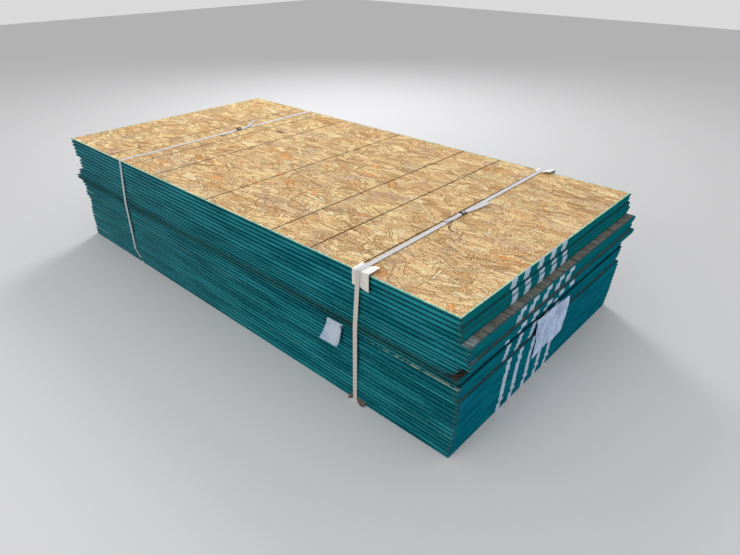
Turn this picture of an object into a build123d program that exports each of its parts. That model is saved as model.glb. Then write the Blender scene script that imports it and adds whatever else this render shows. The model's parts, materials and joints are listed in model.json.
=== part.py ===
from build123d import *
import os

# A strapped pile of tongue and groove floor sheets of oriented strand board.
# Millimetres. X runs along the sheets, Y across them from the groove side to the tongue side, and Z up.
# The origin is on the floor, under the middle of the whole pile.

os.makedirs("parts", exist_ok=True)

# One sheet: an 8 by 4 foot panel, 23/32 inch thick
sheet_length = 2438.4
sheet_width = 1219.2
sheet_thickness = 18.3
sheet_count = 30
tongue_reach = 10.0
tongue_root = 7.0
tongue_tip = 5.2
groove_depth = 11.0
groove_mouth = 7.8
groove_floor = 6.0
profile_overlap = 1.0

# How the pile was laid, top sheet first: how far each sheet stands past the near end of the pile,
# and how far it is pushed back from the groove side
end_shifts = [
    0, -2, 4, 8, 3, 39, 33, 33, 46, 8,
    -6, -28, 12, 15, 13, 10, 6, 16, 15, 14,
    13, 12, 11, 10, 9, 8, 5, 3, 1, 0,
]
side_shifts = [
    0, 0, 1, 1, 2, 4, 2, 2, 2, -4,
    -1, -7, -4, 1, 5, 4, 3, 6, 11, 10,
    9, 6, 4, 5, 5, 5, 8, 9, 7, 7,
]

# Straps: woven band, pulled tight once around the width of the pile; insets are from the pile's near end
strap_width = 19.0
strap_thickness = 1.0
corner_straight = 12.0
near_front_inset = 383.0
near_back_inset = 395.0
near_foot_inset = 410.0
far_front_inset = 1913.0
far_back_inset = 1933.0
far_bulge_inset = 1974.0
far_foot_inset = 1925.0
far_bulge_height = 63.0

# Free tails at each buckle: direction across the pile, length, height of the cut end,
# and turn off the strap's line
near_tails = [(-1, 104.0, 3.5, 0.0), (1, 148.0, 7.0, -12.0)]
far_tails = [(-1, 135.0, 3.5, 13.0), (1, 112.0, 28.0, 5.0)]

# Webbing at a buckle: where it leaves the strap before the end bar, where it is down again behind the bar,
# and how much it still stands off there
tail_lead = 7.0
tail_fall = 12.0
tail_spring = 0.4

# Wire buckles, bent from one rod, with a middle bar. The rod is drawn with flats,
# so that two small parts stay light.
wire_diameter = 3.2
wire_flats = 12
wire_clearance = 0.1
buckle_length = 27.0
buckle_side_gap = 0.5
near_buckle_y = -36.0
far_buckle_y = 75.0

# White edge guards under the near strap, on the two long edges of the top sheet
guard_thickness = 2.0
guard_top_leg = 45.0
guard_side_leg = 54.0
guard_band = 23.0
guard_short_wing = 24.0
guard_long_wing = 52.0
guard_lift = 8.0
guard_low_lift = 3.0

# Brownish foot guard where the near strap turns under the bottom sheet
foot_thickness = 1.0
foot_height = 14.0
foot_reach = 16.0

# Paper tag that hangs out of the joint under one sheet, on the groove side
tag_above = 13
tag_inset = 492.0
tag_width = 74.0
tag_drop = 68.0
tag_reach = 42.0
tag_fold = 6.0
tag_bow = 8.0
paper_thickness = 0.4

# Torn paper label on the near end
label_width = 265.0
label_height = 178.0
label_middle_y = -5.5
label_bottom_height = 131.0


def laid(shifts, number):
    """The shift of one sheet; a taller pile repeats the pattern."""
    return shifts[number % len(shifts)]


end_laid = [laid(end_shifts, number) for number in range(sheet_count)]
side_laid = [laid(side_shifts, number) for number in range(sheet_count)]

# Heights
pile_bottom = strap_thickness
pile_top = pile_bottom + sheet_count * sheet_thickness


def joint_height(sheets_above):
    """Height of the joint under a number of sheets."""
    return pile_top - sheets_above * sheet_thickness


# The pile's nominal middle, placed so that the whole object is centred on the origin
tag_seat = laid(side_shifts, tag_above)
front_reach = min(
    tag_seat - tag_reach,
    side_laid[-1] - foot_reach - foot_thickness,
    side_laid[0] - guard_lift - guard_thickness,
    min(side_laid) - strap_thickness,
)
guard_sheets = int(guard_side_leg // sheet_thickness) + 1
guard_back_seat = tongue_reach + max(side_laid[:guard_sheets])
guard_front_seat = min(side_laid[:guard_sheets])
back_reach = max(
    guard_back_seat + guard_lift + guard_thickness,
    max(side_laid) + tongue_reach + strap_thickness,
)
pile_x = -(max(end_laid) + min(end_laid)) / 2
pile_y = -(front_reach + back_reach) / 2
near_end = pile_x + sheet_length / 2
groove_side = pile_y - sheet_width / 2
tongue_side = pile_y + sheet_width / 2

# Where the straps cross the pile's edges
near_front_x = near_end - near_front_inset
near_back_x = near_end - near_back_inset
near_foot_x = near_end - near_foot_inset
far_front_x = near_end - far_front_inset
far_back_x = near_end - far_back_inset
far_bulge_x = near_end - far_bulge_inset
far_foot_x = near_end - far_foot_inset

# The sheets, one solid each, cut to one profile and laid with their own shifts
for number in range(sheet_count):
    left_end = near_end + end_laid[number] - sheet_length
    front = groove_side + side_laid[number]
    back = front + sheet_width
    middle = joint_height(number) - sheet_thickness / 2
    with BuildPart() as sheet:
        with BuildSketch(Plane.YZ.offset(left_end)) as profile:
            with Locations(((front + back) / 2, middle)):
                Rectangle(sheet_width, sheet_thickness)
            with BuildLine():
                Polyline(
                    (back - profile_overlap, middle - tongue_root / 2),
                    (back, middle - tongue_root / 2),
                    (back + tongue_reach, middle - tongue_tip / 2),
                    (back + tongue_reach, middle + tongue_tip / 2),
                    (back, middle + tongue_root / 2),
                    (back - profile_overlap, middle + tongue_root / 2),
                    close=True,
                )
            make_face()
            with BuildLine():
                Polyline(
                    (front - profile_overlap, middle - groove_mouth / 2),
                    (front, middle - groove_mouth / 2),
                    (front + groove_depth, middle - groove_floor / 2),
                    (front + groove_depth, middle + groove_floor / 2),
                    (front, middle + groove_mouth / 2),
                    (front - profile_overlap, middle + groove_mouth / 2),
                    close=True,
                )
            make_face(mode=Mode.SUBTRACT)
        extrude(amount=sheet_length)
    sheet.part.label = f"sheet_{number + 1:02d}"
    export_step(sheet.part, f"parts/{sheet.part.label}.step")

# Corners of every sheet in the plane across the pile, where a tight strap can bear
sheet_corners = []
for number in range(sheet_count):
    front = groove_side + side_laid[number]
    back = front + sheet_width
    upper = joint_height(number)
    lower = upper - sheet_thickness
    middle = (upper + lower) / 2
    sheet_corners += [(front, lower), (front, upper), (back, lower), (back, upper)]
    sheet_corners += [
        (back + tongue_reach, middle - tongue_tip / 2),
        (back + tongue_reach, middle + tongue_tip / 2),
    ]

# Corners of the guards under the near strap
guard_front_y = groove_side + guard_front_seat
guard_back_y = tongue_side + guard_back_seat
foot_y = groove_side + side_laid[-1]
guard_corners = [
    (guard_front_y + guard_top_leg, pile_top + guard_thickness),
    (guard_front_y - guard_thickness, pile_top + guard_thickness),
    (guard_front_y - guard_thickness, pile_top - guard_side_leg),
    (guard_back_y - guard_top_leg, pile_top + guard_thickness),
    (guard_back_y + guard_thickness, pile_top + guard_thickness),
    (guard_back_y + guard_thickness, pile_top - guard_side_leg),
    (foot_y - foot_thickness, pile_bottom + foot_height),
    (foot_y - foot_thickness, pile_bottom),
]


def half_loop(corners):
    """One side of the tight loop: drop each corner that the strap passes over."""
    chain = []
    for y, z in corners:
        while len(chain) > 1:
            (y0, z0), (y1, z1) = chain[-2:]
            if (y1 - y0) * (z - z0) - (z1 - z0) * (y - y0) > 0:
                break
            chain.pop()
        chain.append((y, z))
    return chain[:-1]


def tight_loop(corners):
    """The corners that a tight strap bears on, in order around the pile."""
    ordered = sorted(set(corners))
    return half_loop(ordered) + half_loop(ordered[::-1])


def strip(route):
    """Outline of a band of the strap's width along a route of (x, along) points."""
    half = strap_width / 2
    return [(x - half, along) for x, along in route] + [(x + half, along) for x, along in reversed(route)]


def strap_loop(corners, front_route, back_route):
    """A tight loop around the corners, cut to the strap's width along its slanting route."""
    loop = tight_loop(corners)
    front_edge = min(y for y, z in loop)
    back_edge = max(y for y, z in loop)
    low = min(z for y, z in loop)
    high = max(z for y, z in loop)
    margin = 2 * corner_straight
    xs = [x for x, z in front_route + back_route]
    span = max(xs) - min(xs) + 2 * strap_width
    with BuildPart() as route:
        with BuildSketch(Plane.XZ.offset(-front_edge - corner_straight)):
            with BuildLine():
                Polyline(*strip(front_route), close=True)
            make_face()
        extrude(amount=margin)
        with BuildSketch(Plane.XZ.offset(-back_edge + corner_straight)):
            with BuildLine():
                Polyline(*strip(back_route), close=True)
            make_face()
        extrude(amount=-margin)
        for height, front_x, back_x in (
            (high, front_route[0][0], back_route[0][0]),
            (low, front_route[-1][0], back_route[-1][0]),
        ):
            crossing = [(front_x, front_edge + corner_straight), (back_x, back_edge - corner_straight)]
            with BuildSketch(Plane.XY.offset(height - corner_straight / 2)):
                with BuildLine():
                    Polyline(*strip(crossing), close=True)
                make_face()
            extrude(amount=corner_straight)
    with BuildPart() as band:
        with BuildSketch(Plane.YZ.offset(min(xs) - strap_width)):
            with BuildLine():
                Polyline(*loop, close=True)
            make_face()
            offset(amount=strap_thickness, kind=Kind.INTERSECTION)
            with BuildLine():
                Polyline(*loop, close=True)
            make_face(mode=Mode.SUBTRACT)
        extrude(amount=span)
        add(route.part, mode=Mode.INTERSECT)
    return band.part


def side_route(top_x, foot_x, between=()):
    """Route down one side: straight past both corners, with the given points between them."""
    reach = 2 * corner_straight
    return [
        (top_x, pile_top + reach),
        (top_x, pile_top - corner_straight),
        *between,
        (foot_x, pile_bottom + corner_straight),
        (foot_x, pile_bottom - reach),
    ]


near_band = strap_loop(
    sheet_corners + guard_corners,
    side_route(near_front_x, near_foot_x),
    side_route(near_back_x, near_foot_x),
)
far_band = strap_loop(
    sheet_corners,
    side_route(far_front_x, far_foot_x, [(far_bulge_x, pile_bottom + far_bulge_height)]),
    side_route(far_back_x, far_foot_x),
)


def strap_x_at(y, front_x, back_x):
    """Middle of a strap's top run at one place across the pile."""
    share = (y - groove_side) / sheet_width
    return front_x + share * (back_x - front_x)


near_buckle_x = strap_x_at(pile_y + near_buckle_y, near_front_x, near_back_x)
far_buckle_x = strap_x_at(pile_y + far_buckle_y, far_front_x, far_back_x)
near_run = pile_top + guard_thickness
far_run = pile_top

# Heights above the underside of a strap's top run: the wire's middle, and the middle of a second
# layer of webbing over the buckle's end bar and lying on the strap
wire_middle = strap_thickness + wire_clearance + wire_diameter / 2
over_wire = wire_middle + wire_diameter / 2 + 4 * wire_clearance + strap_thickness / 2
on_strap = 1.5 * strap_thickness + wire_clearance
bar_place = (buckle_length - wire_diameter) / 2
hump_end = bar_place + tail_fall


def tail_plane(place, outward, skew):
    """Upright plane along a tail: its X along the strap, away from the buckle."""
    along = Vector(0, outward, 0).rotate(Axis.Z, skew)
    return Plane(origin=place, x_dir=along, z_dir=along.cross(Vector(0, 0, 1)))


def hump():
    """Webbing up through the buckle and over its end bar."""
    return [
        (bar_place - tail_lead, strap_thickness / 2),
        (bar_place - 0.65 * tail_lead, on_strap + 1.5 * tail_spring),
        (bar_place, over_wire),
        (bar_place + 0.4 * tail_fall, (over_wire + on_strap) / 2),
        (hump_end, on_strap + tail_spring),
    ]


def free_end(length, end_height):
    """The tail from the hump to its cut end."""
    reach = length - hump_end
    return [
        (-1.5 * strap_thickness, on_strap + 1.5 * tail_spring),
        (2 * strap_thickness, on_strap + 0.75 * tail_spring),
        (0.6 * reach, on_strap + 0.3 * end_height),
        (reach, on_strap + end_height),
    ]


# The straps: each has one tail folded back to the groove side, and one that stands off to the tongue side
for name, band, x, y, run, tails in (
    ("strap_near", near_band, near_buckle_x, near_buckle_y, near_run, near_tails),
    ("strap_far", far_band, far_buckle_x, far_buckle_y, far_run, far_tails),
):
    with BuildPart() as strap:
        add(band)
        for outward, length, end_height, skew in tails:
            buckle_middle = Vector(x, pile_y + y, run)
            with BuildSketch(tail_plane(buckle_middle, outward, 0)):
                with BuildLine():
                    Spline(*hump())
                trace(line_width=strap_thickness)
            extrude(amount=strap_width / 2, both=True)
            turn_place = buckle_middle + Vector(0, outward * hump_end, 0)
            with BuildSketch(tail_plane(turn_place, outward, skew)):
                with BuildLine():
                    Spline(*free_end(length, end_height))
                trace(line_width=strap_thickness)
            extrude(amount=strap_width / 2, both=True)
    strap.part.label = name
    export_step(strap.part, f"parts/{name}.step")

# The two wire buckles
for name, x, y, run in (
    ("buckle_near", near_buckle_x, pile_y + near_buckle_y, near_run),
    ("buckle_far", far_buckle_x, pile_y + far_buckle_y, far_run),
):
    inner_half = strap_width / 2 + buckle_side_gap + wire_diameter / 2
    height = run + wire_middle
    with BuildPart() as buckle:
        with BuildLine() as rod:
            FilletPolyline(
                (x - inner_half, y - bar_place, height),
                (x + inner_half, y - bar_place, height),
                (x + inner_half, y + bar_place, height),
                (x - inner_half, y + bar_place, height),
                radius=wire_diameter,
                close=True,
            )
        with BuildSketch(Plane(origin=rod.line @ 0, z_dir=rod.line % 0)):
            RegularPolygon(wire_diameter / 2, wire_flats)
        sweep()
        with BuildSketch(Plane.YZ.offset(x - inner_half)):
            with Locations((y, height)):
                RegularPolygon(wire_diameter / 2, wire_flats)
        extrude(amount=2 * inner_half)
    buckle.part.label = name
    export_step(buckle.part, f"parts/{name}.step")


def guard_outline(outward, corner_y, inner_rise, corner_rise, corner_out, low_out):
    """Bent plate of one edge guard: the top leg's inner end, the corner and the side leg's low end."""
    inner = [
        (-guard_top_leg, inner_rise),
        (corner_out, corner_rise),
        (low_out, -guard_side_leg),
    ]
    outer = [
        (low_out + guard_thickness, -guard_side_leg),
        (corner_out + guard_thickness, corner_rise + guard_thickness),
        (-guard_top_leg, inner_rise + guard_thickness),
    ]
    return [(corner_y + outward * u, pile_top + v) for u, v in inner + outer]


# The two edge guards: tight under the strap, standing off the pile at both sides of it
for name, outward, corner_y, strap_x in (
    ("guard_front", -1, guard_front_y, near_front_x),
    ("guard_back", 1, guard_back_y, near_back_x),
):
    with BuildPart() as guard:
        for place, inner_rise, corner_rise, corner_out, low_out in (
            (-guard_short_wing, guard_low_lift / 3, guard_low_lift, guard_low_lift, guard_low_lift),
            (-guard_band / 2, 0.0, 0.0, 0.0, 0.0),
            (guard_band / 2, 0.0, 0.0, 0.0, 0.0),
            (guard_long_wing, guard_lift, guard_lift / 2, guard_lift / 2, guard_lift / 2),
        ):
            with BuildSketch(Plane.YZ.offset(strap_x + place)):
                with BuildLine():
                    Polyline(
                        *guard_outline(outward, corner_y, inner_rise, corner_rise, corner_out, low_out),
                        close=True,
                    )
                make_face()
        loft(ruled=True)
    guard.part.label = name
    export_step(guard.part, f"parts/{name}.step")

# The foot guard: tight behind the strap, leaning out to the floor at both sides of it
with BuildPart() as guard_foot:
    for place, low_out in (
        (-guard_short_wing, foot_reach),
        (-guard_band / 2, 0.0),
        (guard_band / 2, 0.0),
        (guard_long_wing, foot_reach),
    ):
        with BuildSketch(Plane.YZ.offset(near_foot_x + place)):
            with BuildLine():
                Polyline(
                    (foot_y, pile_bottom + foot_height),
                    (foot_y - foot_thickness, pile_bottom + foot_height),
                    (foot_y - low_out - foot_thickness, pile_bottom),
                    (foot_y - low_out, pile_bottom),
                    close=True,
                )
            make_face()
    loft(ruled=True)
guard_foot.part.label = "guard_foot"
export_step(guard_foot.part, "parts/guard_foot.step")

# The paper tag: out of the joint, folded down, then bowed out to its lower edge
tag_y = groove_side + tag_seat
tag_z = joint_height(tag_above)
tag_x = near_end - tag_inset
fold_end = Vector(tag_y - tag_fold, tag_z - tag_fold)
low_edge = Vector(tag_y - tag_reach, tag_z - tag_drop)
fall = low_edge - fold_end
bow = (fold_end + low_edge) / 2 + Vector(-fall.Y, fall.X).normalized() * tag_bow
with BuildPart() as side_tag:
    with BuildSketch(Plane.YZ.offset(tag_x)):
        with BuildLine():
            TangentArc((tag_y, tag_z - paper_thickness / 2), fold_end, tangent=(-1, 0))
            ThreePointArc(fold_end, bow, low_edge)
        trace(line_width=paper_thickness)
    extrude(amount=tag_width / 2, both=True)
side_tag.part.label = "side_tag"
export_step(side_tag.part, "parts/side_tag.step")

# The torn label, flat against the sheets that stand out furthest behind it
label_top = pile_bottom + label_bottom_height + label_height
first_behind = int((pile_top - label_top) // sheet_thickness)
last_behind = int((pile_top - label_top + label_height) // sheet_thickness)
label_x = near_end + max(end_laid[first_behind:last_behind + 1])
label_left = pile_y + label_middle_y - label_width / 2
label_outline = [
    (0.0, 0.0), (0.35, 0.02), (0.7, 0.05), (0.95, 0.1), (1.0, 0.3), (0.97, 0.55), (0.9, 0.92), (0.65, 1.0),
    (0.5, 0.95), (0.31, 0.92), (0.18, 0.94), (0.07, 1.0), (0.03, 0.9), (0.07, 0.6), (0.04, 0.35),
]
with BuildPart() as end_label:
    with BuildSketch(Plane.YZ.offset(label_x)):
        with BuildLine():
            Polyline(
                *[(label_left + u * label_width, label_top - v * label_height) for u, v in label_outline],
                close=True,
            )
        make_face()
    extrude(amount=paper_thickness)
end_label.part.label = "end_label"
export_step(end_label.part, "parts/end_label.step")
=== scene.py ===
# %% [markdown]
# # A strapped pile of strand board
# Thirty floor sheets of oriented strand board lie on each other, their edges painted teal, with two woven
# straps pulled tight around them. The solids come from the CAD model. Blender adds what a drawing leaves out:
# the pressed strands, the paint, the weave of the straps, the bent guards, torn paper and wear.

# %% Load the packed model
import json
import math
import random

import bmesh
import bpy
from mathutils import Matrix, Vector


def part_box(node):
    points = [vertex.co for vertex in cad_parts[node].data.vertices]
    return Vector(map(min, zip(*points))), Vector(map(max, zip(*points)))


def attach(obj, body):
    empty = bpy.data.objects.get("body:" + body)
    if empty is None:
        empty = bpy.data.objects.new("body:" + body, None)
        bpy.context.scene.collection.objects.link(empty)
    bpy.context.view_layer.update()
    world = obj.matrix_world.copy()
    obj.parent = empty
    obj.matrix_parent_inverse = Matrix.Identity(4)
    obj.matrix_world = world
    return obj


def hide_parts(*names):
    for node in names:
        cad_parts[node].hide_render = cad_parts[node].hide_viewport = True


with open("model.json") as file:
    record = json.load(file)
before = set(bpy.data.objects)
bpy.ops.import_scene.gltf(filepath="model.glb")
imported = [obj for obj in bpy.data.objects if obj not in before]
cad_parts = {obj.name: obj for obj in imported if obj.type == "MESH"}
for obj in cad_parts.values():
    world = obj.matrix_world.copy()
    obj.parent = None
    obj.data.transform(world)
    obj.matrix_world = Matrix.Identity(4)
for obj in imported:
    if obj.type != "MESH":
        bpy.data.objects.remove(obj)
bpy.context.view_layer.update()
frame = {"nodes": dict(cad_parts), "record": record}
random.seed(7)
mm = 0.001

# %% [markdown]
# Every place is measured on the packed sheets, so the finishes follow the model. A sheet's box tells where
# its front edge and its near end lie. The tongue stands out of the box at the back and is taken off again.

# %% Measure the sheets
sheet_names = sorted(name for name in frame["nodes"] if name.startswith("sheet_"))
sheet_boxes = [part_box(name) for name in sheet_names]
sheet_count = len(sheet_names)
top_low, top_high = sheet_boxes[0]
tongue = 10 * mm
sheet_thickness = top_high.z - top_low.z
sheet_length = top_high.x - top_low.x
sheet_width = top_high.y - top_low.y - tongue
pile_top = top_high.z
pile_bottom = sheet_boxes[-1][0].z
near_end = top_high.x
groove_side = top_low.y
side_shifts = [low.y - groove_side for low, high in sheet_boxes]
end_shifts = [high.x - near_end for low, high in sheet_boxes]
top_middle = Vector((near_end - sheet_length / 2, groove_side + sheet_width / 2, pile_top))
print(sheet_count, "sheets of", round(sheet_length, 4), round(sheet_width, 4), round(sheet_thickness, 4))

# %% [markdown]
# The camera stands where the photographer stood, worked out from the corners of the top sheet: its place is
# written from the middle of that sheet's top face, and its direction as a turn about the upright axis, a tilt
# and a small roll. The lens follows from the focal length in pixels of a picture 740 pixels wide.

# %% Set up the camera
picture_width = 740
focal_pixels = 564.286
sensor_width = 36.0
turn, tilt, roll = (math.radians(angle) for angle in (42.1485, 30.5550, 0.1732))
eye = top_middle + Vector((1882.1, -1711.1, 873.1)) * mm
back = Vector((math.sin(turn) * math.cos(tilt), -math.cos(turn) * math.cos(tilt), math.sin(tilt)))
right = (-back).cross(Vector((0, 0, 1))).normalized()
upward = right.cross(-back)
rolled_right = math.cos(roll) * right + math.sin(roll) * upward
rolled_up = math.cos(roll) * upward - math.sin(roll) * right
camera_data = bpy.data.cameras.new("photo_camera")
camera_data.sensor_width = sensor_width
camera_data.lens = focal_pixels / picture_width * sensor_width
camera = bpy.data.objects.new("photo_camera", camera_data)
bpy.context.scene.collection.objects.link(camera)
turned = Matrix((rolled_right, rolled_up, back)).transposed()
camera.matrix_world = Matrix.Translation(eye) @ turned.to_4x4()
bpy.context.scene.camera = camera
print("camera at", [round(v, 3) for v in eye], "lens", round(camera_data.lens, 2))

# %% [markdown]
# ## Materials as sums
# Materials here are built from sums on positions: where a stripe lies, how deep a groove is, which sheet a
# point belongs to. Written node by node that is long, so one small class wraps a socket and turns Python
# arithmetic into Math nodes.


# %% Write shader sums as Python sums
class Wire:
    """A value in a material. Arithmetic on it adds Math nodes."""

    def __init__(self, finish, socket):
        self.finish = finish
        self.socket = socket

    def __add__(self, other):
        return self.finish.math("ADD", self, other)

    def __sub__(self, other):
        return self.finish.math("SUBTRACT", self, other)

    def __rsub__(self, other):
        return self.finish.math("SUBTRACT", other, self)

    def __mul__(self, other):
        return self.finish.math("MULTIPLY", self, other)

    def __truediv__(self, other):
        return self.finish.math("DIVIDE", self, other)

    def __neg__(self):
        return self.finish.math("MULTIPLY", self, -1)

    def __abs__(self):
        return self.finish.math("ABSOLUTE", self)

    __radd__ = __add__
    __rmul__ = __mul__

    def step(self, low, high):
        """Runs smoothly from 0 to 1 as the value runs from low to high."""
        return self.finish.node(
            "MapRange", {"interpolation_type": "SMOOTHSTEP"}, (self, low, high, 0.0, 1.0)
        )

    def again(self, times):
        """Another random number from this one."""
        return self.finish.math("FRACT", self * times)

    def least(self, other):
        return self.finish.math("MINIMUM", self, other)

    def most(self, other):
        return self.finish.math("MAXIMUM", self, other)

    def out(self, name):
        """Another output of the same node."""
        return Wire(self.finish, self.socket.node.outputs[name])


print("a wire can", ", ".join(name for name in vars(Wire) if not name.startswith("_")))

# %% [markdown]
# A material starts with its Principled shader, which takes what is the same all over. What varies is worked
# out by nodes, and every node comes from one method that sets it up and links it. Most finishes are then a
# first colour with coats over it, each coat being a mask, how strongly it covers, and its colour.


# %% Build a material around its shader
class Finish:
    """A material under construction, with its Principled shader."""

    def __init__(self, name, **constants):
        self.material = bpy.data.materials.new(name)
        self.material.use_nodes = True
        self.nodes = self.material.node_tree.nodes
        self.links = self.material.node_tree.links
        self.shader = self.nodes["Principled BSDF"]
        for socket, value in constants.items():
            self.shader.inputs[socket.replace("_", " ")].default_value = value

    def node(self, kind, settings=None, values=(), output=0):
        made = self.nodes.new("ShaderNode" + kind)
        for key, value in (settings or {}).items():
            if key == "stops":
                while len(made.color_ramp.elements) < len(value):
                    made.color_ramp.elements.new(1.0)
                for element, (position, color) in zip(made.color_ramp.elements, value):
                    element.position = position
                    element.color = (*color, 1.0)
            elif key == "ramp":
                made.color_ramp.interpolation = value
            else:
                setattr(made, key, value)
        pairs = values.items() if isinstance(values, dict) else enumerate(values)
        for place, value in pairs:
            if isinstance(value, Wire):
                self.links.new(value.socket, made.inputs[place])
            elif value is not None:
                made.inputs[place].default_value = value
        return Wire(self, made.outputs[output])

    def math(self, operation, *values):
        return self.node("Math", {"operation": operation}, values)

    def vector(self, operation, *values):
        return self.node("VectorMath", {"operation": operation}, values)

    def coords(self):
        """The place of a point on its piece. Its normal is another output of the node."""
        return self.node("TexCoord", {}, (), "Object")

    def split(self, vector):
        parts = self.node("SeparateXYZ", {}, (vector,))
        return parts, parts.out("Y"), parts.out("Z")

    def join(self, x=0.0, y=0.0, z=0.0):
        return self.node("CombineXYZ", {}, (x, y, z))

    def noise(self, vector, scale=1.0, detail=2.0, roughness=0.5):
        return self.node(
            "TexNoise", {}, {"Vector": vector, "Scale": scale, "Detail": detail, "Roughness": roughness}
        )

    def drawn_noise(self, vector, fineness, detail=2.0, roughness=0.5):
        """Noise drawn out along the axes. A large number makes it fine that way."""
        return self.noise(self.vector("MULTIPLY", vector, fineness), 1.0, detail, roughness)

    def ramp(self, value, stops, kind="LINEAR"):
        return self.node("ValToRGB", {"stops": stops, "ramp": kind}, (value,))

    def mix(self, factor, first, second):
        """Mixes two colours."""
        return self.node(
            "Mix", {"data_type": "RGBA", "blend_type": "MIX"}, {0: factor, 6: first, 7: second}, 2
        )

    def coats(self, color, *coats):
        """Lays coats over a colour. Each has a mask, its strength and its own colour."""
        for mask, strength, coat in coats:
            color = self.mix(mask * strength, color, coat)
        return color

    def choose(self, factor, first, second):
        """Takes one of two numbers."""
        return self.node("Mix", {"data_type": "FLOAT"}, {0: factor, 2: first, 3: second})

    def choose_vector(self, factor, first, second):
        return self.node("Mix", {"data_type": "VECTOR"}, {0: factor, 4: first, 5: second}, 1)

    def feed(self, socket, value):
        self.links.new(value.socket, self.shader.inputs[socket])

    def bump(self, height, distance, strength=1.0):
        values = {"Strength": strength, "Distance": distance, "Height": height}
        self.feed("Normal", self.node("Bump", {}, values))


print("a finish can", ", ".join(name for name in vars(Finish) if not name.startswith("_")))

# %% [markdown]
# Colours are written as they are read off a picture, 0 to 255. The renderer counts in linear light, so they
# are turned round once, here. The nodes of the CAD model keep their shape and only take a new material.


# %% Colours, and the material of a CAD node
def srgb(red, green, blue):
    """A colour as read off a picture, 0 to 255, in the renderer's linear numbers."""
    parts = [part / 255 for part in (red, green, blue)]
    return tuple(p / 12.92 if p <= 0.04045 else ((p + 0.055) / 1.055) ** 2.4 for p in parts)


def paint(red, green, blue):
    return (*srgb(red, green, blue), 1.0)


def dress(name, material):
    """Gives a CAD node its material."""
    own = frame["nodes"][name].data.materials
    own.clear()
    own.append(material)


print("middle grey is", [round(part, 3) for part in srgb(128, 128, 128)])

# %% [markdown]
# ## Strand board
# The face of such a sheet is a jumble of thin wood flakes, most of them lying along the sheet, pressed flat
# and glued. They could be thousands of thin plates, but pressed board is flat to a fraction of a millimetre,
# so here they are stamped in the material, one layer over another. A layer is a grid of long cells with one
# flake in each. The first two layers fill the face, and the later ones leave more and more cells empty.

# %% Sizes of the flakes
flake_layers = [
    # cell length and width, flake length and width in mm, most turn to either side, turn of the grid in
    # degrees, share of the cells that hold a flake
    (150, 50, 150, 50, 6, 3, 1.0),
    (150, 50, 150, 50, 6, -4, 1.0),
    (90, 90, 78, 16, 180, 45, 1.0),
    (100, 70, 86, 20, 40, -20, 1.0),
    (120, 120, 106, 28, 180, 20, 0.9),
    (130, 66, 116, 26, 22, 18, 0.9),
    (130, 80, 112, 34, 40, 30, 0.8),
    (130, 130, 118, 38, 180, 0, 0.7),
    (150, 62, 136, 40, 18, 6, 0.75),
    (120, 84, 108, 34, 40, -35, 0.6),
    (150, 76, 140, 44, 16, -15, 0.5),
    (136, 60, 124, 26, 20, 12, 0.6),
    (110, 110, 88, 12, 180, 60, 0.5),
    (120, 50, 96, 9, 26, 0, 0.4),
    (70, 40, 52, 6, 34, 5, 0.35),
]
print(len(flake_layers), "layers of flakes")

# %% [markdown]
# A Mapping node lays the grid of a layer on the face, and each row of cells slides along by its own amount,
# so that no seams line up. White noise on a cell's column and row gives three random numbers for its flake,
# and multiplying one and keeping what follows the point gives more of them.


# %% Lay out the cells of a layer
def flake_cells(finish, flat, number):
    """Place from the middle of the point's cell, and the three random numbers of that cell."""
    cell_long, cell_wide = flake_layers[number][:2]
    grid_turn = flake_layers[number][5]
    grid = finish.node(
        "Mapping",
        {"vector_type": "TEXTURE"},
        {
            "Vector": flat,
            "Location": (0.137 * number, 0.061 * number, 0.0),
            "Rotation": (0.0, 0.0, math.radians(grid_turn)),
            "Scale": (cell_long * mm, cell_wide * mm, 1.0),
        },
    )
    along, across, level = finish.split(grid)
    row = finish.math("FLOOR", across)
    slid = along + row.again(0.371) * 3.7 + (row * 0.618).again(1.0)
    column = finish.math("FLOOR", slid)
    dice = finish.node("TexWhiteNoise", {}, {"Vector": finish.join(column, row, level * 7 + number)})
    from_middle = finish.join(
        (slid - column - 0.5) * (cell_long * mm), (across - row - 0.5) * (cell_wide * mm), 0.0
    )
    return from_middle, finish.split(dice.out("Color"))


print("a cell of the first layer is", flake_layers[0][0], "by", flake_layers[0][1], "mm")

# %% [markdown]
# The cell's random numbers turn its flake, size it, cut its ends askew and taper it, and a shared noise frays
# its edge. The distance to that edge comes out positive inside the flake.

# %% Cut a flake out of each cell
end_askew = 1.6
side_taper = 0.16


def flake_outline(finish, number, from_middle, dice, ragged):
    """Place along and across the flake, and how far inside its edge the point lies."""
    long, wide, most_turn = flake_layers[number][2:5]
    red, green, blue = dice
    angle = (red - 0.5) * (2 * math.radians(most_turn))
    turned = finish.node("VectorRotate", {"rotation_type": "Z_AXIS"}, {"Vector": from_middle, "Angle": angle})
    u, v = finish.split(turned)[:2]
    half_long = (green * 0.35 + 0.65) * (long / 2 * mm)
    half_wide = (blue * 0.6 + 0.4) * (wide / 2 * mm)
    end_gap = half_long - abs(u + v * (red.again(17.3) - 0.5) * end_askew) + ragged
    side_gap = half_wide + u * (green.again(13.7) - 0.5) * side_taper - abs(v) + ragged * 0.35
    return u, v, end_gap.least(side_gap)


print("the largest flake is", max(layer[2] for layer in flake_layers), "mm long")

# %% [markdown]
# Where a point lies inside a flake, that layer hands on its tone and the place inside the flake, so one grain
# pattern at the end follows every flake. Just outside a flake's edge lies a thin dark line, its gap and
# shadow. The last layer is of slivers, and those are dark.

# %% Stamp the layers over each other
fray = 9 * mm
cut_edge = 0.15 * mm
shadow_out, shadow_in = 3.4 * mm, 1.3 * mm
dark_layers = 1


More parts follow.
